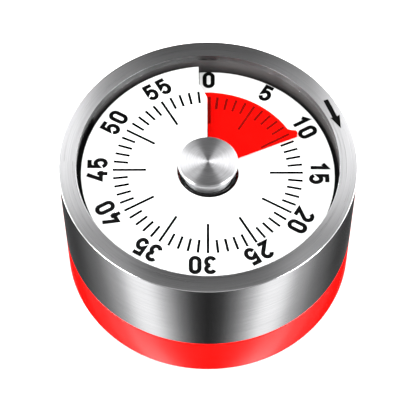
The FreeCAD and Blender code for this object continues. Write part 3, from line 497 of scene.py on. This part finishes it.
SLOTS = {
    "red_plastic": moulded("red_plastic", (0.86, 0.001, 0.0), 0.16, 700.0, 0.03, 0.03, 0.24),
    # The brushed steel's last figure darkens the colour of walls facing the axis: painted shade on the
    # rim's inner lip.
    "steel_brushed": spun_metal("steel_brushed", (0.50, 0.50, 0.51), (0.66, 0.66, 0.67),
                                0.24, 0.34, 0.85, 9000.0, 0.62, 0.16),
    "steel_polished": spun_metal("steel_polished", (0.34, 0.34, 0.35), (0.50, 0.50, 0.51),
                                 0.36, 0.48, 0.86, 6000.0),
    "clear_plastic": clear_sheet("clear_plastic", (0.985, 0.99, 0.99)),
    "white_print": moulded("white_print", (0.86, 0.855, 0.85), 0.55, 1500.0, 0.04, 0.01),
    "red_film": film_sheet("red_film"),
    "grey_plastic": moulded("grey_plastic", (0.048, 0.044, 0.044), 0.45),
    "black_plastic": moulded("black_plastic", (0.006, 0.006, 0.006), 0.4, shine=0.1),
    "white_acetal": moulded("white_acetal", (0.78, 0.77, 0.72), 0.4),
    "rubber_black": moulded("rubber_black", (0.02, 0.02, 0.02), 0.75, 400.0, 0.2, 0.15),
    "brass": metal("brass", (0.72, 0.50, 0.20), 0.30),
    "steel_plain": metal("steel_plain", (0.55, 0.55, 0.56), 0.30),
    "spring_steel": metal("spring_steel", (0.18, 0.21, 0.30), 0.25),
}
ink = moulded("dial_ink", (0.002, 0.002, 0.002), 0.8, 2000.0, 0.03, 0.3, 0.02)

body_of = {}
for body, members in frame["record"]["behaviour"]["bodies"].items():
    for member in members:
        body_of[member] = body
slot_of = {entry["node"]: entry["material_slot"] for entry in frame["record"]["subparts"]}


def stand_for(piece, cad_node):
    """A piece takes the place, body and finish of one CAD node."""
    mat_slot = slot_of[cad_node]
    piece.data.materials.clear()
    piece.data.materials.append(SLOTS[mat_slot])
    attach(piece, body_of[cad_node])
    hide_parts(cad_node)


# ------------------------------------------------------------------ red base and underside
base_low = low("base_cup")
base_top = top("base_cup")
cover_r = reach("bottom_cover")
COVER_THICK = 1.5
COVER_GAP = 0.2
BASE_WALL = 2.5
BASE_LOW_ROUND = 0.7
BASE_TOP_ROUND = 0.25
LEDGE_LOW = 12.3
LEDGE_R = 34.0
base_floor = low("movement_housing")
stand_for(revolve("red_base", [
    (cover_r + COVER_GAP, base_low, EDGE),
    (body_r, base_low, BASE_LOW_ROUND),
    (body_r, base_top, BASE_TOP_ROUND),
    (body_r - BASE_WALL, base_top, EDGE),
    (body_r - BASE_WALL, base_floor, 0.0),
    (LEDGE_R, base_floor, 0.0),
    (LEDGE_R, LEDGE_LOW, 0.0),
    (body_r - BASE_WALL, LEDGE_LOW, 0.0),
    (body_r - BASE_WALL, base_low + COVER_THICK + COVER_GAP, 0.0),
    (cover_r + COVER_GAP, base_low + COVER_THICK + COVER_GAP, 0.0),
]), "base_cup")

# ------------------------------------------------------------------ steel sleeve and window
STEEL = 0.7
RIM_ROUND = 0.3
RIM_FALL = 0.03
FOLD_ROUND = 0.3


def rim_height(radius):
    """Height of the rim's top, which falls by a hair towards its outer edge."""
    return total_top - RIM_FALL * (radius - RIM_INNER) / (body_r - RIM_INNER)


stand_for(revolve("brushed_sleeve", [
    (body_r - STEEL, sleeve_low, EDGE_SMALL),
    (body_r, sleeve_low, EDGE),
    (body_r, rim_height(body_r), RIM_ROUND),
    (RIM_INNER, total_top, EDGE_FINE),
    (RIM_INNER, window_low, EDGE_SMALL),
    (RIM_INNER + STEEL, window_low, EDGE_SMALL),
    (RIM_INNER + STEEL, total_top - STEEL, FOLD_ROUND),
    (body_r - 2 * STEEL, total_top - STEEL, 0.0),
    (body_r - STEEL, total_top - 2 * STEEL, 0.0),
], segments=360, steps=10), "steel_sleeve")
NECK_R = 6.7
stand_for(revolve("clear_window", [
    (NECK_R + GLUE_GAP, window_low, 0.0),
    (RIM_INNER - GLUE_GAP, window_low, EDGE_FINE),
    (RIM_INNER - GLUE_GAP, window_top, EDGE_FINE),
    (NECK_R + GLUE_GAP, window_top, 0.0),
]), "window")

# ------------------------------------------------------------------ knob
knob_r = reach("knob_cap")
knob_low = low("knob_cap")
KNOB_LOW_BEVEL = (0.2, 0.3)
KNOB_TOP_BEVEL = (0.4, 0.35)
KNOB_TOP_ROUND = 0.12
stand_for(revolve("spun_knob", [
    (0.0, knob_low, 0.0),
    (knob_r - KNOB_LOW_BEVEL[0], knob_low, EDGE),
    (knob_r, knob_low + KNOB_LOW_BEVEL[1], EDGE),
    (knob_r, total_top - KNOB_TOP_BEVEL[1], EDGE),
    (knob_r - KNOB_TOP_BEVEL[0], total_top, KNOB_TOP_ROUND),
    (0.0, total_top, 0.0),
]), "knob_cap")
NECK_BORE = 1.53
neck_low = low("knob_neck")
stand_for(revolve("knob_neck_ring", [
    (NECK_BORE, neck_low, 0.0),
    (NECK_R, neck_low, EDGE_WIDE),
    (NECK_R, window_top, 0.0),
    (NECK_BORE, window_top, 0.0),
]), "knob_neck")
HUB_BORE = 5.4
HUB_WEB = 1.6
NECK_GAP = 0.2
hub_low = low("film_hub")
hub_top = top("film_hub")
stand_for(revolve("film_collar", [
    (HUB_BORE, hub_low, 0.0),
    (FILM_INNER, hub_low, EDGE_WIDE),
    (FILM_INNER, hub_top, EDGE_WIDE),
    (NECK_R + NECK_GAP, hub_top, EDGE_SMALL),
    (NECK_R + NECK_GAP, hub_low + HUB_WEB, 0.0),
    (HUB_BORE, hub_low + HUB_WEB, 0.0),
]), "film_hub")

# ------------------------------------------------------------------ dial
# Left of the 0 mark the slit runs straight out, then swings aside: (x, y) in millimetres.
SLIT_CURVE = [(0.0, 23.3), (-0.45, 24.4), (-1.0, 25.6), (-1.75, 26.9), (-2.4, 28.1), (-2.4, 40.0)]
SLIT_GAP = 0.25


def slit_angle(radius):
    """Clockwise angle of the slit edge at a radius; it is negative where it jogs."""
    if radius <= SLIT_CURVE[0][1]:
        return 0.0
    for (x0, y0), (x1, y1) in zip(SLIT_CURVE, SLIT_CURVE[1:]):
        r0 = math.hypot(x0, y0)
        r1 = math.hypot(x1, y1)
        if radius <= r1:
            part = (radius - r0) / (r1 - r0)
            x = x0 + (x1 - x0) * part
            return math.degrees(math.asin(x / radius))
    return math.degrees(math.asin(SLIT_CURVE[-1][0] / radius))


def dial_z(degrees):
    """Height of the dial's upper side at a clockwise angle."""
    return dial_low + PITCH * max(0.0, degrees) / FULL_TURN


def dial_point(row, column):
    """Point of the dial's upper side at shares of its width and of its turn."""
    radius = DIAL_INNER + (dial_r - DIAL_INNER) * row
    start = slit_angle(radius)
    end = FULL_TURN + start - math.degrees(SLIT_GAP / radius)
    degrees = start + (end - start) * column
    x, y = clock_xy(radius, degrees)
    return x, y, dial_z(degrees)


DIAL_ROWS = 44
FILM_ROWS = 16
SHEET_COLUMNS = 480
stand_for(sheet_grid("white_dial", DIAL_ROWS, SHEET_COLUMNS, dial_point, DIAL_THICK), "dial_plate")


# ------------------------------------------------------------------ printed scale


def dial_ink(x, y):
    """Height of the print's upper side over the dial."""
    degrees = math.degrees(math.atan2(x, y)) % FULL_TURN
    if degrees > LAST_PRINT:
        degrees = 0.0
    return dial_z(degrees) + INK_LIFT + INK_THICK


def rim_ink(x, y):
    """Height of the print's upper side over the sloping rim."""
    return rim_height(math.hypot(x, y)) + RIM_INK_LIFT


def ink_slab(name, loops, height, body, surface=dial_ink):
    """Thin printed shapes: each loop is a flat outline of (x, y) laid on a surface."""
    points = []
    faces = []
    for loop in loops:
        first = len(points)
        count = len(loop)
        for drop in (0.0, height):
            for x, y in loop:
                points.append((x, y, surface(x, y) - drop))
        faces.append(tuple(range(first, first + count)))
        faces.append(tuple(reversed(range(first + count, first + 2 * count))))
        for index in range(count):
            after = (index + 1) % count
            faces.append((first + index, first + count + index,
                          first + count + after, first + after))
    piece = tidy_mesh(new_object(name, points, faces))
    piece.data.materials.clear()
    piece.data.materials.append(ink)
    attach(piece, body)
    return piece


TICK_OUTER = 25.6
MAJOR_INNER = 16.6
MINOR_INNER = 21.6
TICK_HALF = 0.35
# The 0 mark stands this far clear of the slit.
SLIT_MARGIN = 0.05
MINUTES = 60
LONG_MARK_EVERY = 5


def minute_axes(minute):
    """Plan directions outwards along a minute's mark and clockwise across it."""
    angle = math.radians(Y_WAY - FULL_TURN / MINUTES * minute)
    out = (math.cos(angle), math.sin(angle))
    return out, (out[1], -out[0])


def minute_point(minute, radius, across):
    """Plan position at a radius and a distance clockwise across a minute's mark."""
    out, side = minute_axes(minute)
    return (out[0] * radius + side[0] * across, out[1] * radius + side[1] * across)


ticks = []
for minute in range(MINUTES):
    inner = MAJOR_INNER if minute % LONG_MARK_EVERY == 0 else MINOR_INNER
    shift = TICK_HALF + SLIT_MARGIN if minute == 0 else 0.0
    corners = ((inner, -1), (TICK_OUTER, -1), (TICK_OUTER, 1), (inner, 1))
    ticks.append([minute_point(minute, radius, way * TICK_HALF + shift) for radius, way in corners])
ink_slab("minute_ticks", ticks, INK_THICK, "base")

# Figures are drawn as strokes in a box, in millimetres.
FIGURE_W = 3.38
FIGURE_H = 5.5
STROKE = 1.13


def arc(cx, cy, rx, ry, a0, a1, count=14):
    """Points along an elliptic arc, in degrees."""
    return [
        (cx + rx * math.cos(math.radians(a0 + (a1 - a0) * i / count)),
         cy + ry * math.sin(math.radians(a0 + (a1 - a0) * i / count)))
        for i in range(count + 1)
    ]


def figure_strokes(figure):
    """Centre lines of one figure in millimetres, from its lower left corner."""
    half = STROKE / 2
    left, right = half, FIGURE_W - half
    bottom, high = half, FIGURE_H - half
    mid = (left + right) / 2
    rx = (right - left) / 2
    if figure == "0":
        path = arc(mid, high - rx, rx, rx, 0, 180) + arc(mid, bottom + rx, rx, rx, 180, 360)
        return [path + [path[0]]]
    if figure == "1":
        return [[(left + 0.25, high - 1.05), (mid + 0.35, high), (mid + 0.35, bottom)]]
    if figure == "2":
        bow = arc(mid, high - rx, rx, rx, 165, -35)
        return [bow + [(left, bottom), (right, bottom)]]
    if figure == "3":
        ru = rx * 0.98
        centre = bottom + (high - bottom) * 0.53
        upper = arc(mid, (high + centre) / 2, ru, (high - centre) / 2, 160, -90)
        lower = arc(mid, (bottom + centre) / 2, rx, (centre - bottom) / 2, 90, -160)
        return [upper, lower]
    if figure == "4":
        stem = right - 0.4
        return [[(stem - 0.35, FIGURE_H), (left, bottom + 1.2), (right + 0.45, bottom + 1.2)],
                [(stem, bottom + 2.2), (stem, 0.0)]]
    if figure == "5":
        ry = (high - bottom) * 0.315
        bowl = arc(mid, bottom + ry, rx, ry, 132, -160)
        return [[(right - 0.05, high), (left + 0.15, high), (left + 0.02, bottom + ry * 1.45)] + bowl]
    return []


# Mitres of a stroke's corners reach out no further than this cosine allows.
SHARPEST_MITRE = 0.45


def stroke_loops(path):
    """Outline loops of a stroke: a strip with mitred joints and square ends."""
    half = STROKE / 2
    closed = math.dist(path[0], path[-1]) < TINY
    nodes = path[:-1] if closed else path
    count = len(nodes)
    left_side = []
    right_side = []
    for index, (x, y) in enumerate(nodes):
        if closed:
            before, after = nodes[index - 1], nodes[(index + 1) % count]
        else:
            before = nodes[max(0, index - 1)]
            after = nodes[min(count - 1, index + 1)]
        ax, ay = x - before[0], y - before[1]
        bx, by = after[0] - x, after[1] - y
        if math.hypot(ax, ay) < TINY:
            ax, ay = bx, by
        if math.hypot(bx, by) < TINY:
            bx, by = ax, ay
        la, lb = math.hypot(ax, ay), math.hypot(bx, by)
        nax, nay = -ay / la, ax / la
        nbx, nby = -by / lb, bx / lb
        mx, my = nax + nbx, nay + nby
        ml = math.hypot(mx, my)
        mx, my = mx / ml, my / ml
        cosine = max(SHARPEST_MITRE, mx * nax + my * nay)
        reach_out = half / cosine
        left_side.append((x + mx * reach_out, y + my * reach_out))
        right_side.append((x - mx * reach_out, y - my * reach_out))
    loops = []
    segments = count if closed else count - 1
    for index in range(segments):
        after = (index + 1) % count
        loops.append([left_side[index], left_side[after], right_side[after], right_side[index]])
    return loops


FIGURE_GAP = 0.62
# Each figure's lower edge (mm from the centre) and its shift clockwise past its mark (mm).
FIGURE_PLACES = {
    0: (28.65, 0.2), 5: (28.4, 0.7), 10: (27.55, 0.0), 15: (27.1, 0.0),
    20: (26.2, 1.0), 25: (25.9, 1.25), 30: (26.4, 1.35), 35: (26.5, 1.4),
    40: (26.85, 1.3), 45: (26.95, 0.1), 50: (27.0, 0.5), 55: (27.0, 1.0),
}
figure_loops = []
for value, (base_radius, shift) in FIGURE_PLACES.items():
    text = str(value)
    width = len(text) * FIGURE_W + (len(text) - 1) * FIGURE_GAP
    for place, figure in enumerate(text):
        begin = -width / 2 + place * (FIGURE_W + FIGURE_GAP) + shift
        for path in figure_strokes(figure):
            for loop in stroke_loops(path):
                figure_loops.append([minute_point(value, base_radius + v, begin + u) for u, v in loop])
ink_slab("minute_figures", figure_loops, INK_THICK, "base")

# ------------------------------------------------------------------ arrow on the rim
ARROW_TAIL = (32.1, 20.1)
ARROW_TIP = (35.9, 10.7)
ARROW_LENGTH = math.dist(ARROW_TAIL, ARROW_TIP)
ARROW_WAY = ((ARROW_TIP[0] - ARROW_TAIL[0]) / ARROW_LENGTH,
             (ARROW_TIP[1] - ARROW_TAIL[1]) / ARROW_LENGTH)
ARROW_SIDE = (-ARROW_WAY[1], ARROW_WAY[0])
ARROW_HALF = 0.68
ARROW_NECK = 6.1
ARROW_BARB = 5.9
ARROW_SHAPE = [(0.0, -ARROW_HALF), (ARROW_NECK, -ARROW_HALF), (ARROW_BARB, -1.25),
               (ARROW_LENGTH, 0.0), (ARROW_BARB, 1.5), (ARROW_NECK, ARROW_HALF), (0.0, ARROW_HALF)]


def arrow_point(forward, sideways):
    """Plan position on the rim from distances along and across the arrow."""
    return (ARROW_TAIL[0] + ARROW_WAY[0] * forward + ARROW_SIDE[0] * sideways,
            ARROW_TAIL[1] + ARROW_WAY[1] * forward + ARROW_SIDE[1] * sideways)


arrow = [[arrow_point(forward, sideways) for forward, sideways in ARROW_SHAPE]]
ink_slab("rim_arrow", arrow, INK_THICK, "setter", rim_ink)

# ------------------------------------------------------------------ red film
LEAD_INNER = clock_xy(7.0, SETTING - 6.6)
LEAD_OUTER = clock_xy(27.2, SETTING - 0.2)
# The film's outer edge draws in by this much up to its rounded tip; angles run from its
# leading edge, clockwise positive.
FILM_DRIFT = 0.85
DRIFT_START = -62.0
TIP = [(-8.0, FILM_R - FILM_DRIFT), (-7.2, 25.95), (-6.4, 26.25), (-5.4, 26.8), (-4.0, 27.65),
       (-2.6, 27.75), (-0.6, 27.1), (0.5, 26.9)]
HALVINGS = 40
# Columns of the film crowd towards its leading edge by this power.
COLUMN_CROWDING = 1.6


def lead_angle(radius):
    """Clockwise angle of the film's straight leading edge at a radius."""
    lo_part, hi_part = -0.5, 1.5
    for _ in range(HALVINGS):
        part = (lo_part + hi_part) / 2
        x = LEAD_INNER[0] + (LEAD_OUTER[0] - LEAD_INNER[0]) * part
        y = LEAD_INNER[1] + (LEAD_OUTER[1] - LEAD_INNER[1]) * part
        if math.hypot(x, y) < radius:
            lo_part = part
        else:
            hi_part = part
    return math.degrees(math.atan2(x, y))


def film_edge(degrees):
    """Outer radius of the film, which flares into a tip at the leading edge."""
    offset = degrees - SETTING
    if offset <= DRIFT_START:
        return FILM_R
    if offset <= TIP[0][0]:
        return FILM_R - FILM_DRIFT * (offset - DRIFT_START) / (TIP[0][0] - DRIFT_START)
    for (a0, r0), (a1, r1) in zip(TIP, TIP[1:]):
        if offset <= a1:
            return r0 + (r1 - r0) * (offset - a0) / (a1 - a0)
    return TIP[-1][1]


def film_point(row, column):
    """Point of the film's upper side at shares of its width and of its turn."""
    tail = SETTING - FILM_TURN
    column = 1.0 - (1.0 - column) ** COLUMN_CROWDING
    near = tail + (SETTING - tail) * column
    radius = FILM_INNER + (film_edge(near) - FILM_INNER) * row
    degrees = tail + (lead_angle(radius) - tail) * column
    x, y = clock_xy(radius, degrees)
    return x, y, dial_low + FILM_LIFT + FILM_THICK + PITCH * degrees / FULL_TURN


stand_for(sheet_grid("red_time_film", FILM_ROWS, SHEET_COLUMNS, film_point, FILM_THICK), "red_film")

# ------------------------------------------------------------------ liner
liner_low = low("wall_liner")
liner_top = top("wall_liner")
stand_for(revolve("grey_liner", [
    (LINER_INNER, liner_low, 0.0),
    (LINER_INNER + LINER_THICK, liner_low, 0.0),
    (LINER_INNER + LINER_THICK, liner_top, EDGE_SMALL),
    (LINER_INNER, liner_top, EDGE_SMALL),
], start=LINER_GAP[1], sweep=FULL_TURN - (LINER_GAP[1] - LINER_GAP[0])), "wall_liner")

# ------------------------------------------------------------------ everything else keeps its CAD shape
for cad_name, cad_piece in frame["nodes"].items():
    cad_piece.data.materials.clear()
    cad_piece.data.materials.append(SLOTS[slot_of[cad_name]])
    smooth_faces(cad_piece.data)

# ------------------------------------------------------------------ floor, light and camera
FLOOR_HALF = 900
floor = new_object("studio_floor", [
    (-FLOOR_HALF, -FLOOR_HALF, 0), (FLOOR_HALF, -FLOOR_HALF, 0),
    (FLOOR_HALF, FLOOR_HALF, 0), (-FLOOR_HALF, FLOOR_HALF, 0),
], [(0, 1, 2, 3)])
floor.data.materials.append(moulded("floor_paper", (0.93, 0.93, 0.93), 0.8, 300.0, 0.02, 0.005))
floor.visible_glossy = False


def soft_light(name, place, target, size, power):
    """A rectangular soft light aimed at a target, sizes in millimetres."""
    data = bpy.data.lights.new(name, "AREA")
    data.shape = "RECTANGLE"
    data.size = size[0] * MM
    data.size_y = size[1] * MM
    data.energy = power
    lamp = bpy.data.objects.new(name, data)
    bpy.context.scene.collection.objects.link(lamp)
    spot = Vector(place) * MM
    lamp.location = spot
    lamp.rotation_euler = (Vector(target) * MM - spot).to_track_quat("-Z", "Y").to_euler()
    return lamp


KEY_X, KEY_Y, KEY_Z = 620, -330, 420
KEY_TARGET = (0, 0, 30)
KEY_SIZE = (330, 480)
KEY_POWER = 8.5
soft_light("key_left", (-KEY_X, KEY_Y, KEY_Z), KEY_TARGET, KEY_SIZE, KEY_POWER)
soft_light("key_right", (KEY_X, KEY_Y, KEY_Z), KEY_TARGET, KEY_SIZE, KEY_POWER)

# The room is grey panels seen mostly as reflections in the steel.
SKY_STRENGTH = 1.5
world = bpy.data.worlds.new("studio")
bpy.context.scene.world = world
world.use_nodes = True
sky = world.node_tree
way = sky.nodes.new("ShaderNodeTexCoord").outputs["Generated"]
split = sky.nodes.new("ShaderNodeSeparateXYZ")
sky.links.new(way, split.inputs[0])
turn = math_node(sky, "ARCTAN2", math_node(sky, "ABSOLUTE", split.outputs[0]),
                 math_node(sky, "MULTIPLY", split.outputs[1], -1.0))
share = math_node(sky, "DIVIDE", turn, math.pi)


def grey_ramp(levels):
    """A ramp of plain greys round the room, from the front (0) to the back (1)."""
    return ramp(sky, share, [(place, (level, level, level)) for place, level in levels])


below = grey_ramp([
    (0.0, 0.015), (0.064, 0.04), (0.128, 0.17), (0.194, 0.5), (0.25, 1.0), (0.34, 1.0),
    (0.40, 0.34), (0.48, 0.26), (0.50, 0.10), (0.59, 0.08), (0.67, 0.012), (0.80, 0.012),
    (0.91, 0.04), (0.96, 0.35), (1.0, 0.60),
])
above = grey_ramp([
    (0.0, 0.9), (0.13, 0.9), (0.20, 0.10), (0.34, 0.6), (0.50, 2.0), (0.60, 6.4),
    (0.85, 6.4), (0.89, 0.50), (0.92, 0.02), (1.0, 0.01),
])
shoulder = grey_ramp([(0.0, 0.18), (0.86, 0.18), (0.93, 0.01), (1.0, 0.01)])
ceiling = grey_ramp([(0.0, 0.25), (1.0, 0.25)])

# Heights, as sines of the elevation, where one band of the room fades into the next.
WALL_FOOT = (0.10, 0.38)
WALL_HEAD = (0.62, 0.76)
CEILING_EDGE = (0.87, 0.95)


def fade(edge, first, second):
    """Go from one band of the room to the next between two heights."""
    return mixed(sky, span(sky, split.outputs[2], 0.0, 1.0, *edge), first, second)


walls = fade(WALL_FOOT, below, above)
upper = fade(CEILING_EDGE, shoulder, ceiling)
panels = fade(WALL_HEAD, walls, upper)
sky.links.new(panels, sky.nodes["Background"].inputs["Color"])
sky.nodes["Background"].inputs["Strength"].default_value = SKY_STRENGTH

LENS = 148.5
SENSOR = 36.0
CLIP_START = 0.01
CAMERA_PLACE = (0.0, -0.2536, 0.4255)
CAMERA_TARGET = (0, 0, 0.0217)
camera_data = bpy.data.cameras.new("photo_camera")
camera_data.lens = LENS
camera_data.sensor_width = SENSOR
camera_data.clip_start = CLIP_START
camera = bpy.data.objects.new("photo_camera", camera_data)
bpy.context.scene.collection.objects.link(camera)
camera.location = CAMERA_PLACE
view_way = Vector(CAMERA_TARGET) - camera.location
camera.rotation_euler = view_way.to_track_quat("-Z", "Y").to_euler()
bpy.context.scene.camera = camera
bpy.context.scene.view_settings.view_transform = "Standard"
